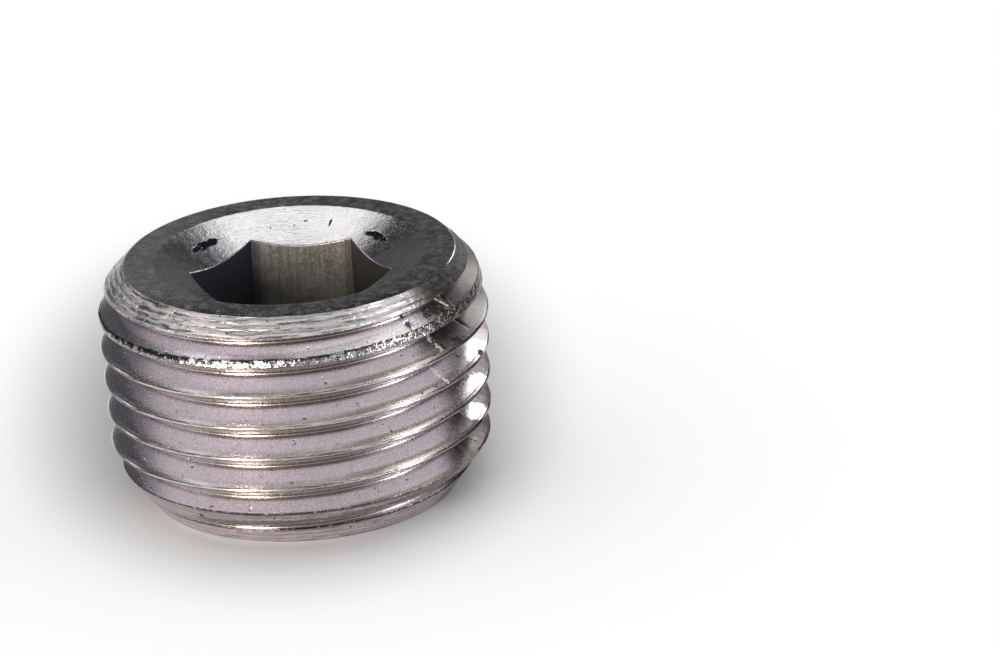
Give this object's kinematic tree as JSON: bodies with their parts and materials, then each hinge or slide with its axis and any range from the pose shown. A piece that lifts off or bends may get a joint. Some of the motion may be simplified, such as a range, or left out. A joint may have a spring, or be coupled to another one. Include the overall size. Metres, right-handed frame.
{
  "type": "pipe plug",
  "caption": "Flush taper pipe plug in bare steel, with an external right-hand pipe thread and a hexagon key socket in its large end.",
  "frame": {"origin": "centre of the flat face at the small end, which the plug stands on", "axes": "+Z along the plug's axis from the small face to the large face with the socket, +X through two opposite corners of the hexagon"},
  "size_m": [0.0214, 0.0214, 0.0134],
  "materials": {
    "steel": "satin, turned, with a worn and slightly burred thread"
  },
  "bodies": {
    "root": {"plug": "steel"}
  },
  "joints": []
}
